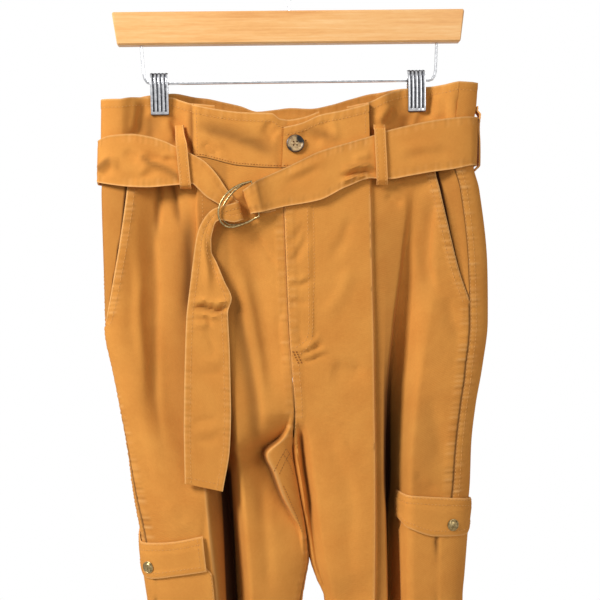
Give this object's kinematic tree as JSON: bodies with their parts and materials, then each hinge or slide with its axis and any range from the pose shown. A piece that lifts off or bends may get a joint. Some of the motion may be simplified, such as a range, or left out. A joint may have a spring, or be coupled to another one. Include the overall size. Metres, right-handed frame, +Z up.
{
  "type": "paperbag waist cargo trousers on a clip hanger",
  "caption": "Long cotton twill trousers with a gathered paperbag waist, D-ring sash belt, slant pockets and flapped cargo pockets, held flat by clips on a wooden trouser hanger.",
  "frame": {"origin": "inside of the hanger hook's crest, where a rail carries it", "axes": "+Z up, +X to the wearer's left, -Y out of the front of the trousers"},
  "size_m": [0.3956, 0.0718, 1.1712],
  "materials": {
    "cotton_twill": "matt camel cotton twill",
    "antique_brass": "dark antique brass, worn bright on the edges",
    "button_horn": "glossy mottled tortoise",
    "pale_wood": "clear satin lacquer on pale wood",
    "chrome": "bright chrome plate"
  },
  "bodies": {
    "root": {"front_r": "cotton_twill", "front_l": "cotton_twill", "back_r": "cotton_twill", "back_l": "cotton_twill", "pocket_facing_r": "cotton_twill", "pocket_facing_l": "cotton_twill", "waistband_front_r": "cotton_twill", "waistband_front_l": "cotton_twill", "waistband_back": "cotton_twill", "belt": "cotton_twill", "belt_loop_front_r": "cotton_twill", "belt_loop_front_l": "cotton_twill", "belt_loop_side_r": "cotton_twill", "belt_loop_side_l": "cotton_twill", "belt_loop_back": "cotton_twill", "cargo_pocket_r": "cotton_twill", "cargo_pocket_l": "cotton_twill", "cargo_flap_r": "cotton_twill", "cargo_flap_l": "cotton_twill", "d_ring_inner": "antique_brass", "d_ring_outer": "antique_brass", "snap_r": "antique_brass", "snap_l": "antique_brass", "waist_button": "button_horn", "hanger_bar": "pale_wood", "hanger_hook": "chrome", "hanger_wire": "chrome", "clip_front_r": "chrome", "clip_back_r": "chrome", "clip_front_l": "chrome", "clip_back_l": "chrome"}
  },
  "joints": []
}
